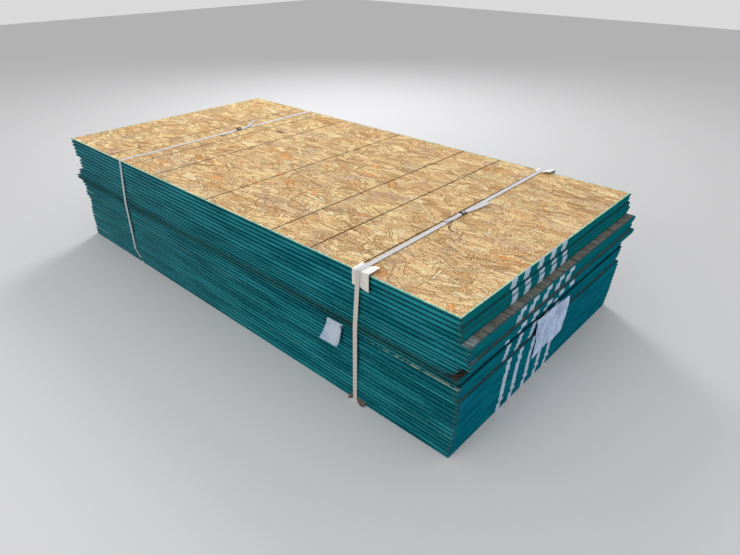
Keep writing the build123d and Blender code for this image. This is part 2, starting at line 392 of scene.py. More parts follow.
def stamp_flakes(finish, flat):
    """Tone, place in the flake and dark edge of the uppermost flake at each point of a flat face."""
    tone = finish.noise(flat, 30.0, 2.0)
    grain = flat
    edge = tone * 0.0
    ragged = (finish.noise(flat, 60.0, 3.0, 0.6) - 0.5) * fray
    for number, layer in enumerate(flake_layers):
        share = layer[-1]
        from_middle, dice = flake_cells(finish, flat, number)
        u, v, gap = flake_outline(finish, number, from_middle, dice, ragged)
        red, green, blue = dice
        kept = gap.step(-cut_edge, cut_edge)
        rim = gap.step(-shadow_out, -shadow_in) * blue.again(23.9).step(0.3, 0.7)
        own_tone = green.again(57.3)
        if share < 1:
            held = finish.math("LESS_THAN", red.again(91.7), share)
            kept = kept * held
            rim = rim * held
        if number >= len(flake_layers) - dark_layers:
            own_tone = own_tone * 0.2
            rim = rim * 0.3
        tone = finish.choose(kept, tone, own_tone * 0.93 + 0.07)
        edge = (edge * 0.97).most(rim) * (1 - kept)
        grain = finish.choose_vector(kept, grain, finish.join(u, v + blue * 3, number * 0.37 + red))
    return tone, grain, edge


print("flakes fray by", round(fray / 2 / mm, 1), "mm to either side")

# %% [markdown]
# The paint tells each sheet apart: each was sprayed in its own stack, so stripes and edges moved with it when
# it was laid here. One ramp carries three numbers per sheet: how far it lies back from the groove side, how
# far it stands out at the near end, and how far its stripes slipped. A point finds its sheet by its height,
# moved a millimetre into the board so that a face belongs to its own sheet.

# %% Tell the sheets apart in a material
shift_span = 120 * mm
stripe_slips = [
    0, 0, 6, 3, 8, 13, 8, 4, 17, 0, 0, 0, -11, 0, -3,
    -3, -3, 20, 14, 20, 13, 13, 13, 13, 13, 15, 15, 28, 17, 17,
]


class SheetPlace:
    """Where a point is on its own sheet, in metres."""

    def __init__(self, finish):
        self.finish = finish
        self.coords = finish.coords()
        self.x, self.y, self.z = finish.split(self.coords)
        nx, ny, nz = finish.split(self.coords.out("Normal"))
        self.down = (pile_top - self.z) / sheet_thickness
        self.index = finish.math("FLOOR", self.down + nz * (mm / sheet_thickness))
        side, end, slip = self.shifts()
        self.from_front = self.y - groove_side - side
        self.from_back = sheet_width - self.from_front
        self.from_near = near_end + end - self.x
        self.from_far = sheet_length - self.from_near
        self.across = self.y - top_middle.y - slip
        from_joint = 0.5 - abs(self.down - self.index - 0.5)
        self.face = abs(nz).step(0.8, 0.9) * (1 - from_joint.step(0.06, 0.07))
        self.facing_up = nz.step(0.5, 0.6)
        self.end_face = abs(nx).step(0.5, 0.6)
        self.long_side = 1 - self.end_face
        self.inner = self.index.step(0.4, 0.6)

    def shifts(self):
        """Back from the groove side, out at the near end, and slip of the stripes."""
        stops = []
        for number in range(sheet_count):
            slip = stripe_slips[number % len(stripe_slips)] * mm
            shifts = (side_shifts[number], end_shifts[number], slip)
            stops.append((number / sheet_count, tuple(0.5 + shift / shift_span for shift in shifts)))
        ramp = self.finish.ramp((self.index + 0.5) / sheet_count, stops, "CONSTANT")
        return [(part - 0.5) * shift_span for part in self.finish.split(ramp)]

    def on_sheet(self, number):
        """One on the sheet of that number, counted from nothing at the top."""
        return 1 - abs(self.index - number).step(0.4, 0.6)

    def on_row(self, level, full, none):
        """One at a level counted down in sheets, fading between two distances from it."""
        return 1 - abs(self.down - level).step(full, none)

    def noise(self, x, y, z, detail=3.0, roughness=0.5):
        """Noise drawn out along the pile. A large number makes it fine that way."""
        return self.finish.drawn_noise(self.coords, (x, y, z), detail, roughness)


print("side shifts in mm", [round(shift / mm) for shift in side_shifts])

# %% [markdown]
# Plain pale stripes were sprayed across the ends of the sheets while they were stacked. A stripe is where a
# distance is small, with a little noise on the distance so that the spray gets a ragged edge. Lower in the
# pile the stripes are narrower.

# %% Stripes
stripe_places = [-321, -241, -149, -62, 18]
stripe_half, low_stripe_half = 18 * mm, 13.5 * mm
spray_edge = 0.6 * mm


def pale_stripes(finish, where):
    """One where a sprayed stripe crosses the sheet's end, nothing elsewhere."""
    ragged = (where.noise(1.0, 50.0, 70.0) - 0.5) * (8 * mm)
    stripes = ragged * 0.0
    half = where.down.step(9.0, 13.0) * (low_stripe_half - stripe_half) + stripe_half
    for place in stripe_places:
        off = abs(where.across - place * mm + ragged)
        stripes = stripes.most(1 - (off - half).step(-spray_edge, spray_edge))
    return stripes


print(len(stripe_places), "stripes")

# %% [markdown]
# A ramp gives each flake its own tone of wood, and a second random number makes some of them pinkish, yellow
# or orange. Streaks, arcs and needles are noises drawn out along the flake, as grain is. Crumbs of wood and
# the dark edges of the flakes come last.

# %% Wood of the flakes
wood_tones = [
    (0.00, srgb(128, 82, 48)),
    (0.07, srgb(190, 146, 95)),
    (0.20, srgb(218, 178, 124)),
    (0.42, srgb(232, 192, 140)),
    (0.60, srgb(243, 208, 154)),
    (0.78, srgb(251, 223, 168)),
    (0.93, srgb(255, 236, 191)),
    (1.00, srgb(253, 222, 162)),
]
pale_grain = paint(255, 238, 196)


def flake_wood(finish, flat, cloud, crumbs):
    """Colour of the pressed flakes, and the streaks of their grain."""
    tone, grain, edge = stamp_flakes(finish, flat)
    hue = tone.again(31.7)
    streaks = finish.drawn_noise(grain, (14.0, 260.0, 5.0), 3.0, 0.6)
    arcs = finish.drawn_noise(grain, (7.0, 46.0, 5.0), 1.0).again(9.0)
    arc_lines = abs(arcs - 0.5).step(0.30, 0.5) * tone.again(7.7).step(0.4, 0.9)
    needles = finish.drawn_noise(grain, (36.0, 420.0, 5.0), 2.0, 0.7)
    wood = finish.coats(
        finish.ramp(tone, wood_tones),
        # Whole flakes that are pinkish, yellow and orange
        (hue.step(0.70, 0.76), 0.45, paint(214, 180, 142)),
        (hue.step(0.86, 0.90), 0.4, paint(238, 180, 108)),
        (hue.step(0.955, 0.965), 0.6, paint(232, 152, 78)),
        # Grain along them
        (streaks.step(0.46, 0.62), 0.34, paint(172, 128, 76)),
        (streaks.step(0.46, 0.34), 0.4, pale_grain),
        (arc_lines, 0.35, paint(146, 100, 60)),
        # A cloud over the sheet, pale and dark flakes, and patches
        (cloud.step(0.5, 0.72), 0.25, paint(190, 162, 128)),
        (tone.again(12.9).step(0.80, 0.84), 0.6, paint(252, 224, 164)),
        (tone.again(45.1).step(0.91, 0.94), 0.45, paint(164, 124, 84)),
        (finish.noise(flat, 16.0, 3.0).step(0.5, 0.75), 0.3, paint(200, 178, 128)),
        (finish.noise(flat, 6.0, 3.0).step(0.54, 0.64), 0.45, paint(196, 168, 146)),
        # Gaps between flakes with their painted shadow, needles and crumbs
        (edge, 0.95, paint(84, 56, 40)),
        (needles.step(0.57, 0.62), 0.75, paint(118, 78, 50)),
        (crumbs.step(0.57, 0.61), 0.75, paint(112, 72, 46)),
        (crumbs.step(0.44, 0.36), 0.35, pale_grain),
    )
    return wood, streaks


print(len(wood_tones), "tones of wood")

# %% [markdown]
# A blown leaf with its stem lies near the far strap. Near the other strap a thin dark curve is painted
# shadow, cast by a frayed strap end. Leaf and stem are a few millimetres thick and seen from far off, so they
# are painted: the leaf as a stretched spot with a frayed border, stem and shadow as pieces of circles.

# %% Leaf and curved marks
leaf_place = (-505, 201)
curved_marks = [
    # centre and radius of the arc, middle of its own length, half length and half width, all in mm
    # Painted shadow of a frayed strap end, near the near strap
    ((899, -133), 48, (876, -168), 24, 1.6, paint(60, 44, 38)),
    ((-455, -57), 263, (-563, 174), 62, 1.4, paint(120, 80, 52)),
]


def top_marks(finish, where, wood, crumbs):
    """Lays the leaf and the curved marks on the top sheet."""
    on_top = where.facing_up * (1 - where.inner)

    def away(spot, squash=1.0):
        """Distance from a spot that is given in mm from the middle of the sheet."""
        spot = top_middle + Vector((*spot, 0)) * mm
        offset = finish.join(where.x - spot.x, (where.y - spot.y) * squash, 0.0)
        return finish.vector("LENGTH", offset).out("Value")

    leaf = 1 - (away(leaf_place, 4.0) + (crumbs - 0.5) * (40 * mm)).step(28 * mm, 32 * mm)
    wood = finish.mix(leaf * on_top, wood, paint(70, 44, 34))
    for centre, radius, middle, half_length, half_width, ink in curved_marks:
        off_arc = abs(away(centre) - radius * mm)
        mark = 1 - off_arc.step(half_width * mm, (half_width + 2) * mm)
        mark = mark * (1 - away(middle).step(half_length * mm, (half_length + 4) * mm))
        wood = finish.mix(mark * on_top, wood, ink)
    return wood


print("leaf and", len(curved_marks), "curved marks")

# %% [markdown]
# Thin guide lines for the fitter are printed across the face of each sheet. They are made as the stripes are,
# with a wobble on the distance, and a noise rubs them off in places.

# %% Guide lines
guide_line_places = [406, 610, 813, 1219, 1626, 1829, 2032]
guide_line_half = 2.6 * mm


def guide_lines(finish, where, flat):
    """One on the printed lines, less where they are worn."""
    wobble = (finish.noise(flat, 45.0, 3.0) - 0.5) * (2.5 * mm)
    lines = wobble * 0.0
    for place in guide_line_places:
        off = abs(where.from_far - place * mm + wobble)
        lines = lines.most(1 - off.step(guide_line_half, guide_line_half + mm))
    worn = finish.noise(flat, 120.0, 3.0).step(0.2, 0.42)
    return lines * worn * where.facing_up


print("guide lines at", guide_line_places, "mm from the far end")

# %% [markdown]
# Sheets that stand out under others show a ledge of their face. It has gone grey in the rain and caught paint
# and dust. One ledge is wide and dry, the others are narrow and darker, and one deep pocket under an overhang
# is painted dark as shade.

# %% Ledges in the weather
wide_ledge, shaded_pocket = 5, 12


def weathered(finish, where, wood, cloud, crumbs):
    """Greys the face of every sheet under the first."""
    weather = where.noise(26.0, 170.0, 1.0, 4.0, 0.6)
    spots = where.noise(40.0, 26.0, 1.0, 4.0, 0.65)
    smear = 1 - (where.from_front + (cloud - 0.5) * (60 * mm)).step(30 * mm, 60 * mm)
    narrow = 1 - where.on_sheet(wide_ledge)
    grey = finish.coats(
        finish.mix(weather.step(0.36, 0.64), paint(66, 72, 72), paint(126, 128, 122)),
        (smear * weather.step(0.35, 0.6), 0.6, paint(150, 172, 184)),
        (cloud.step(0.48, 0.66), 0.55, paint(30, 84, 88)),
        (narrow, 0.6, paint(50, 48, 42)),
        (narrow * spots.step(0.46, 0.56), 0.8, paint(16, 82, 86)),
    )
    # Dark browns of the pocket under the overhang: painted shade
    pocket_shade = finish.mix(crumbs.step(0.44, 0.58), paint(46, 34, 30), paint(84, 62, 54))
    return finish.coats(wood, (where.inner, 0.94, grey), (where.on_sheet(shaded_pocket), 0.8, pocket_shade))


print("wide ledge on sheet", wide_ledge + 1, "and dark pocket on sheet", shaded_pocket + 1)

# %% [markdown]
# The spray of the edges drifted a few millimetres on to the face, as a pale green mist, and the stripes
# spilled over the near end. The shortest of the four distances to an edge says how far in a point lies.

# %% Mist on the rims
teal_dark = paint(10, 90, 101)


def rim_mist(finish, where, wood, flat, cloud):
    """Lays the mist of the spray over the rim of the face."""
    rim = where.from_near.least(where.from_far).least(where.from_front.least(where.from_back))
    rim = rim + (cloud - 0.5) * (3 * mm)
    flecks = finish.noise(flat, 90.0, 3.0, 0.6)
    mist = finish.mix(flecks.step(0.4, 0.6), paint(116, 190, 170), paint(206, 224, 196))
    spill = pale_stripes(finish, where) * where.from_near.step(30 * mm, 20 * mm)
    mist = finish.mix(spill, mist, paint(176, 186, 196))
    mist = finish.mix(where.inner, mist, teal_dark)
    clear = (rim + (flecks - 0.5) * (9 * mm)).step(4 * mm, 8 * mm)
    return finish.mix((1 - clear) * 0.85, wood, mist)


def face_wood(finish, where):
    """Colour, relief and streaks of the pressed face."""
    flat = finish.join(where.x, where.y, where.index * 0.37)
    cloud = finish.noise(flat, 3.4, 3.0)
    crumbs = finish.noise(flat, 170.0, 2.0, 0.7)
    wood, streaks = flake_wood(finish, flat, cloud, crumbs)
    wood = top_marks(finish, where, wood, crumbs)
    wood = finish.mix(guide_lines(finish, where, flat) * 0.95, wood, paint(50, 36, 30))
    wood = weathered(finish, where, wood, cloud, crumbs)
    wood = rim_mist(finish, where, wood, flat, cloud)
    relief = where.noise(30.0, 190.0, 1.0, 3.0, 0.6)
    return wood, relief, streaks


print("the face has wood, marks, lines, ledges and mist")

# %% [markdown]
# The edges are cut across the board's layers and sealed with teal paint. Noise that is fine up and down and
# long the other ways lets the layers show through. The ends took a deeper, bluer coat than the long sides,
# which have paled towards the far end, and inside the groove the paint is darkened as painted shade.

# %% Coat of the edges
teal = paint(34, 124, 133)
teal_dull = paint(52, 134, 136)
end_teal = paint(8, 106, 126)
end_teal_dark = paint(4, 62, 82)
groove_shade_color = paint(0, 50, 56)


def edge_coat(finish, where, strata):
    """The sprayed coat as it was new."""
    cloud = where.noise(4.0, 4.0, 34.0)
    layers = where.noise(5.0, 5.0, 260.0, 4.0, 0.65)
    side_coat = finish.coats(
        finish.mix(cloud.step(0.35, 0.65), teal_dark, teal),
        (strata.step(0.5, 0.8), 0.5, teal_dull),
        (where.from_near.step(0.5, 2.4), 0.45, paint(70, 118, 128)),
    )
    end_coat = finish.coats(
        finish.mix(layers.step(0.36, 0.58), end_teal_dark, end_teal),
        (strata.step(0.52, 0.66), 0.4, paint(34, 124, 130)),
        (cloud.step(0.4, 0.7), 0.4, paint(12, 112, 120)),
        (1 - where.down.step(3.0, 12.0), 0.5, paint(10, 104, 100)),
    )
    # Inside the groove: painted shade
    groove_shade = where.from_front.step(0.4 * mm, 2.0 * mm) * where.from_back.step(20 * mm, 30 * mm)
    coat = finish.mix(where.end_face, side_coat, end_coat)
    return finish.mix(groove_shade * where.long_side * 0.35, coat, groove_shade_color)


print("teal is", [round(part, 3) for part in teal[:3]])

# %% [markdown]
# Handling wears the edges row by row. A stain runs along one joint, the lower lip of one groove broke off and
# shows raw splinters, and a few lips are bare for a stretch from the far end. Scuffs and chips lie all over,
# and dust sits on the pile's upright corner.

# %% Wear of the edges
raw_core = paint(120, 98, 80)
bare_lips = [
    # level, counted down in sheets, and length from the far end in metres
    (15.7, 0.11), (19.4, 0.45), (23.1, 0.19), (27.8, 0.2),
]


def edge_wear(finish, where, coat, dust):
    """Stain, splinters, bare lips, scuffs, chips and dust over the coat."""
    side = where.long_side
    splinters = where.noise(70.0, 1.0, 500.0, 3.0, 0.6)
    scuffs = where.noise(14.0, 14.0, 240.0, 5.0, 0.7)
    chips = where.noise(60.0, 60.0, 900.0, 4.0, 0.7)
    stain = 1 - abs(where.down - 12.2 + where.noise(3.0, 3.0, 60.0) * 0.8).step(0.4, 1.3)
    torn = (where.down - 13.64).step(0.0, 0.06) * (1 - (where.down - 13.8).step(0.0, 0.06))
    torn = torn * (splinters - where.from_near * 0.8).step(0.28, 0.44)
    worn = where.on_row(17.2, 0.05, 0.125) * where.from_near.step(0.9, 1.3)
    worn = worn * where.noise(9.0, 1.0, 1.0, 4.0, 0.7).step(0.4, 0.6)
    spotted = where.on_row(24.9, 0.3, 0.9) * (1 - where.from_near.step(0.7, 0.9))
    spotted = spotted * where.noise(90.0, 1.0, 400.0, 4.0, 0.7).step(0.55, 0.66)
    bare = []
    for level, length in bare_lips:
        lip = where.on_row(level, 0.0375, 0.125) * (1 - where.from_far.step(length - 0.08, length))
        bare.append((lip * splinters.step(0.3, 0.44) * side, 0.8, paint(150, 180, 170)))
    side_corner = (1 - where.from_near.step(4 * mm, 22 * mm)) * side
    end_corner = (1 - where.from_front.step(4 * mm, 30 * mm)) * where.end_face
    return finish.coats(
        coat,
        (stain * side, 0.65, paint(34, 52, 46)),
        (torn * side, 0.85, paint(168, 170, 154)),
        (worn * side, 0.75, paint(126, 150, 142)),
        *bare,
        (spotted * side, 0.8, paint(96, 110, 106)),
        (scuffs.step(0.66, 0.78), 0.5, raw_core),
        (chips.step(0.56, 0.66), 0.45, paint(0, 60, 68)),
        (chips.step(0.44, 0.36) * side, 0.35, paint(82, 148, 146)),
        ((side_corner + end_corner) * dust.step(0.42, 0.6), 0.45, paint(64, 82, 76)),
    )


print(len(bare_lips), "bare lips")

# %% [markdown]
# Over the worn coat come the pale stripes of the ends, thinner where the layers stand out. Two joints at the
# end stand open, and the shade in their gaps is painted as dark lines. Then one material takes the wood on
# faces and the paint everywhere else, and all sheets share it. The relief is a small noise of its own,
# because a bump works its sums out three times.

# %% Put wood and paint together
stripe_white = paint(176, 196, 216)
joint_gap_shades = [(2, 1.6), (13, 4.6)]


def edge_paint(finish, where):
    """Colour and relief of the sprayed edges, over wood cut across its layers."""
    strata = where.noise(9.0, 9.0, 620.0, 3.0, 0.6)
    dust = where.noise(120.0, 120.0, 160.0, 4.0, 0.7)
    coat = edge_wear(finish, where, edge_coat(finish, where, strata), dust)
    spray = pale_stripes(finish, where) * where.end_face * (1 - strata.step(0.56, 0.72) * 0.65)
    stripe = finish.mix(dust.step(0.5, 0.6) * 0.5, stripe_white, paint(136, 150, 170))
    coat = finish.mix(spray * 0.95, coat, stripe)
    # Painted shade in the gaps of the open joints
    for joint, half in joint_gap_shades:
        off = abs(where.down - joint) * sheet_thickness
        gap = 1 - off.step(half * mm, (half + 0.8) * mm)
        coat = finish.mix(gap * where.end_face * 0.95, coat, paint(3, 16, 20))
    return coat, strata


def board_finish():
    finish = Finish("strand_board_painted_edges", Specular_IOR_Level=0.0)
    where = SheetPlace(finish)
    wood, wood_height, streaks = face_wood(finish, where)
    coat, coat_height = edge_paint(finish, where)
    finish.feed("Base Color", finish.mix(where.face, coat, wood))
    finish.feed("Roughness", finish.choose(where.face, 0.95, streaks * 0.3 + 0.5))
    finish.bump(finish.choose(where.face, coat_height, wood_height), 0.5 * mm)
    return finish.material


board = board_finish()
for name in sheet_names:
    dress(name, board)
print("board material has", len(board.node_tree.nodes), "nodes")

# %% [markdown]
# ## Straps
# The straps are woven cord: bundles of bonded threads run along them, tied by a fine diagonal thread. The
# CAD band is already the right shape, so it gets the weave, and its sides are coloured darker than its top
# and the edges of the band are painted dark, both as painted shade. Across the band the pattern reads the
# distance along the sheets, and along it the distance run down a side or across the top.

# %% Woven cord strap
cord_pitch = 1.6 * mm
tie_pitch = 3.2 * mm


def webbing_finish(name, shaded_side_color, front_x, back_x, foot_x):
    finish = Finish(name, Roughness=0.62, Specular_IOR_Level=0.35)
    coords = finish.coords()
    x, y, z = finish.split(coords)
    nx, ny, nz = finish.split(coords.out("Normal"))
    on_top = abs(nz).step(0.5, 0.6)
    slant_top = (y - groove_side) * ((back_x - front_x) / sheet_width) + front_x
    slant_side = (pile_top - z) * ((foot_x - front_x) / (pile_top - pile_bottom)) + front_x
    across = x - finish.choose(on_top, slant_side, slant_top)
    along = finish.choose(on_top, z, y)
    cords = finish.math("COSINE", across * (2 * math.pi / cord_pitch)) * 0.5 + 0.5
    tie = finish.math("SINE", (across * 0.6 + along) * (2 * math.pi / tie_pitch)) * 0.5 + 0.5
    soil = finish.noise(coords, 24.0, 4.0, 0.65)
    grime = finish.noise(coords, 320.0, 2.0, 0.6)
    color = finish.coats(
        # Sides darker than the top: painted shade
        finish.mix(on_top, shaded_side_color, paint(214, 213, 218)),
        (1 - cords, 0.35, paint(150, 146, 144)),
        (tie.step(0.72, 0.95), 0.3, paint(236, 236, 240)),
        (soil.step(0.52, 0.75), 0.4, paint(158, 146, 128)),
        (grime.step(0.6, 0.75), 0.35, paint(120, 112, 102)),
        # Edges of the band painted dark: painted shade beside the strap
        (abs(nx).step(0.6, 0.8), 0.7, paint(78, 78, 72)),
    )
    finish.feed("Base Color", color)
    finish.bump(cords * 0.7 + tie * 0.3, 0.35 * mm, 0.8)
    return finish.material


# Distance from the near end in mm: at the front edge, at the back edge and at the foot
strap_places = {"strap_near": (383, 395, 410), "strap_far": (1913, 1933, 1925)}
# Side colours, darker than the tops as painted shade; the far strap's side is a bluish grey painted shade
shaded_side_colors = {"strap_near": paint(182, 176, 166), "strap_far": paint(150, 167, 174)}
for name, insets in strap_places.items():
    places = [near_end - inset * mm for inset in insets]
    dress(name, webbing_finish(name + "_webbing", shaded_side_colors[name], *places))
print("webbing on", ", ".join(strap_places))

# %% [markdown]
# The buckles are bent from one steel rod with a dark phosphate coat. The coat is rubbed bright where webbing
# and tools touched it, and a little rust shows between.


# %% Dark wire of the buckles
def wire_finish():
    finish = Finish("phosphated_wire", Metallic=0.85, Specular_IOR_Level=0.5)
    coords = finish.coords()
    rub = finish.noise(coords, 260.0, 3.0, 0.6)
    rubbed = rub.step(0.5, 0.66)
    rust = finish.noise(coords, 140.0, 4.0, 0.7)
    color = finish.mix(rubbed, paint(22, 19, 18), paint(74, 72, 72))
    finish.feed("Base Color", finish.mix(rust.step(0.6, 0.72) * 0.5, color, paint(88, 56, 40)))
    finish.feed("Roughness", 0.62 - rubbed * 0.28)
    finish.bump(rub, 0.15 * mm, 0.6)
    return finish.material


wire = wire_finish()
for name in ("buckle_near", "buckle_far"):
    dress(name, wire)
print("wire on both buckles")

# %% [markdown]
# ## Shapes by hand
# The other pieces are modelled as by hand: a primitive at its place, opened in edit mode and worked on. An
# operator acts on all that is selected, so these helpers first select by place. Places are read in the mesh,
# so a new primitive's own place is applied before anything is picked on it.

# %% Select, move and cut in edit mode
slots = {entry["slot"] for entry in frame["record"]["materials"]}


def open_primitive(adder, **options):
    """Adds a primitive with nothing else selected, and opens it in edit mode."""
    bpy.ops.object.select_all(action="DESELECT")
    adder(**options)
    bpy.ops.object.mode_set(mode="EDIT")
    return bpy.context.object


def apply_place():
    """Writes the place of the open object into its mesh."""
    bpy.ops.object.mode_set(mode="OBJECT")
    bpy.ops.object.transform_apply(location=True, rotation=True, scale=True)
    bpy.ops.object.mode_set(mode="EDIT")


def open_plate(middle, size, rotation=(0, 0, 0)):
    """Adds a flat plate of a size, ready to be worked on."""
    obj = open_primitive(bpy.ops.mesh.primitive_plane_add, size=1, location=middle, rotation=rotation)
    bpy.ops.transform.resize(value=size)
    apply_place()
    return obj


def pick(obj, kind, test):
    """Selects the points, edges or faces whose place passes the test, and nothing else."""
    bpy.ops.mesh.select_all(action="DESELECT")
    mesh = bmesh.from_edit_mesh(obj.data)
    bpy.context.tool_settings.mesh_select_mode = (kind == "verts", kind == "edges", kind == "faces")
    count = 0
    for item in getattr(mesh, kind):
        spots = [item.co] if kind == "verts" else [v.co for v in item.verts]
        if all(test(spot) for spot in spots):
            item.select_set(True)
            count += 1
    mesh.select_flush_mode()
    bmesh.update_edit_mesh(obj.data)
    return count


def shift(obj, test, offset):
    """Moves the points that pass the test."""
    if pick(obj, "verts", test):
        bpy.ops.transform.translate(value=offset)


def cut(spot, normal):
    """Cuts straight through the whole open mesh."""
    bpy.ops.mesh.select_all(action="SELECT")
    bpy.ops.mesh.bisect(plane_co=spot, plane_no=normal)


print("record slots:", ", ".join(sorted(slots)))

# %% [markdown]
# A finished piece gets its modifiers applied, its material and the body it rides on, and the slot of the
# record that it takes its finish from must be one of the record's. Where it stands for a plain CAD solid,
# that solid is hidden.


# %% Finish a piece
def bent_plate(thickness):
    """Modifiers that round a bent plate and give it its thickness."""
    return (
        ("SUBSURF", {"levels": 2, "render_levels": 2, "boundary_smooth": "PRESERVE_CORNERS"}),
        ("SOLIDIFY", {"thickness": thickness, "offset": 0.0}),
    )


def close_piece(obj, name, material, slot, replaced=(), modifiers=(), smooth=40):
    bpy.ops.object.mode_set(mode="OBJECT")
    obj.name = name
    for kind, settings in modifiers:
        modifier = obj.modifiers.new(kind.lower(), kind)
        for key, value in settings.items():
            setattr(modifier, key, value)
        bpy.ops.object.modifier_apply(modifier=modifier.name)
    bpy.ops.object.transform_apply(location=True, rotation=True, scale=True)
    bpy.ops.object.shade_smooth_by_angle(angle=math.radians(smooth))
    obj.data.materials.clear()
    obj.data.materials.append(material)
    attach(obj, "root")
    assert slot in slots
    if replaced:
        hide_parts(*replaced)
    print(name, "has", len(obj.data.polygons), "faces")
    return obj


print("a bent plate is rounded by", bent_plate(mm)[0][1]["levels"], "levels")

# %% [markdown]
# Two prongs of each buckle stand over the webbing as small arches. One arch is a ring of points on the side
# rod, spun half round above the strap, pressed lower and leaned over. A second one leans the other way. The
# pair is made on the near buckle and copied to the far one.


# %% Prongs over the webbing
def buckle_prongs(name, rod=1.6 * mm, rise=0.72, lean=2.5 * mm, spread=11 * mm):
    low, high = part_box(name)
    middle = (low + high) / 2
    reach = (high.x - low.x) / 2 - rod
    first_y = middle.y - spread / 2
    ring_points = 10
    obj = open_primitive(
        bpy.ops.mesh.primitive_circle_add,
        vertices=ring_points,
        radius=rod,
        location=(middle.x - reach, first_y, middle.z),
    )
    apply_place()
    bpy.ops.mesh.select_all(action="SELECT")
    # With no window a spin turns the other way, so the half turn is negative
    bpy.ops.mesh.spin(steps=12, angle=-math.pi, center=(middle.x, first_y, middle.z), axis=(0, 1, 0))
    bpy.ops.mesh.select_all(action="SELECT")
    bpy.ops.transform.resize(value=(1, 1, rise), center_override=middle)
    for share in (0.35, 0.7):
        shift(obj, lambda co: co.z > middle.z + share * rise * reach, (0, -lean / 2, 0))
    bpy.ops.mesh.select_all(action="SELECT")
    bpy.ops.mesh.fill_holes(sides=ring_points)
    bpy.ops.mesh.select_all(action="SELECT")
    bpy.ops.mesh.duplicate_move(TRANSFORM_OT_translate={"value": (0, spread, 0)})
    for share in (0.35, 0.7):
        shift(
            obj,
            lambda co: co.y > middle.y and co.z > middle.z + share * rise * reach,
            (0, lean, 0),
        )
    bpy.ops.mesh.select_all(action="SELECT")
    bpy.ops.mesh.remove_doubles(threshold=0.01 * mm)
    bpy.ops.mesh.normals_make_consistent(inside=False)
    return close_piece(obj, name + "_prongs", wire, "buckle_wire")


near_prongs = buckle_prongs("buckle_near")
far_prongs = bpy.data.objects.new("buckle_far_prongs", near_prongs.data.copy())
bpy.context.scene.collection.objects.link(far_prongs)
near_low, far_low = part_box("buckle_near")[0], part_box("buckle_far")[0]
far_prongs.data.transform(Matrix.Translation(far_low - near_low))
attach(far_prongs, "root")
prong_top = max(vertex.co.z for vertex in near_prongs.data.vertices)
print("prongs stand", round((prong_top - pile_top) / mm, 1), "mm over the pile")

# %% [markdown]
# ## Bent guards
# Small sheets of white plastic stop the near strap from crushing the top sheet's edges, and one of brown card
# does so at its foot. Both have soil and scratches. The faces that point sideways, the cut edges towards the
# near end and the sides that face the floor are darker, as painted shade beside and under the lifted guards,
# so the finish reads which way a face points.


# %% White plastic and brown card of the guards
def guard_finish(name, light, dirt, amount):
    finish = Finish(name, Specular_IOR_Level=0.4)
    coords = finish.coords()
    nx, ny, nz = finish.split(coords.out("Normal"))
    soil = finish.noise(coords, 45.0, 4.0, 0.65)
    scratches = finish.drawn_noise(coords, (90.0, 900.0, 400.0), 3.0, 0.6)
    fibre = finish.noise(coords, 700.0, 2.0)
    color = finish.coats(
        light,
        (soil.step(0.42, 0.72), amount, dirt),
        (scratches.step(0.62, 0.75), amount * 0.7, dirt),
        # Faces that point sideways take the dirt colour as painted shade
        (abs(ny).step(0.5, 0.8), amount * 1.4, dirt),
        # Cut edges towards the near end: painted shade under the lifted wings
        (nx.step(0.4, 0.55), 0.9, paint(58, 50, 46)),
        # Faces towards the floor: painted shade
        ((-nz).step(0.3, 0.5), 0.8, paint(70, 62, 56)),
    )
    finish.feed("Base Color", color)
    finish.feed("Roughness", fibre * 0.3 + 0.4)
    finish.bump(soil * 0.7 + fibre * 0.3, 0.5 * mm, 0.5)
    return finish.material


guard_plastic = guard_finish("worn_white_plastic", paint(246, 244, 240), paint(164, 158, 148), 0.45)
foot_card = guard_finish("muddy_brown_card", paint(120, 92, 82), paint(80, 64, 58), 0.9)
print("guard materials ready")

# %% [markdown]
# Each guard was folded over the edge by the strap, which lies in a valley while the ends of the guard stand
# up. To bend one by hand, a flat plate gets its side leg by extruding one edge, the fold is bevelled, and
# cuts across it give rows of points that are lifted more the further they are from the strap.

# %% Edge guards of the near strap
guard_plate = 2 * mm
guard_cuts = (-18, -11.5, -6, 6, 11.5, 16, 22, 30, 41)
leg_cuts = (14, 30)
wing_lifts = [
    # side of the strap, distance from it, rise of the top leg and stand-off of the side leg, in mm
    (1, 12, 2.0, 1.8),
    (1, 17, 2.6, 2.2),
    (1, 25, 2.6, 2.2),
    (1, 33, 2.4, 1.6),
    (-1, 12, 1.6, 1.4),
    (-1, 17, 1.0, 1.0),
]


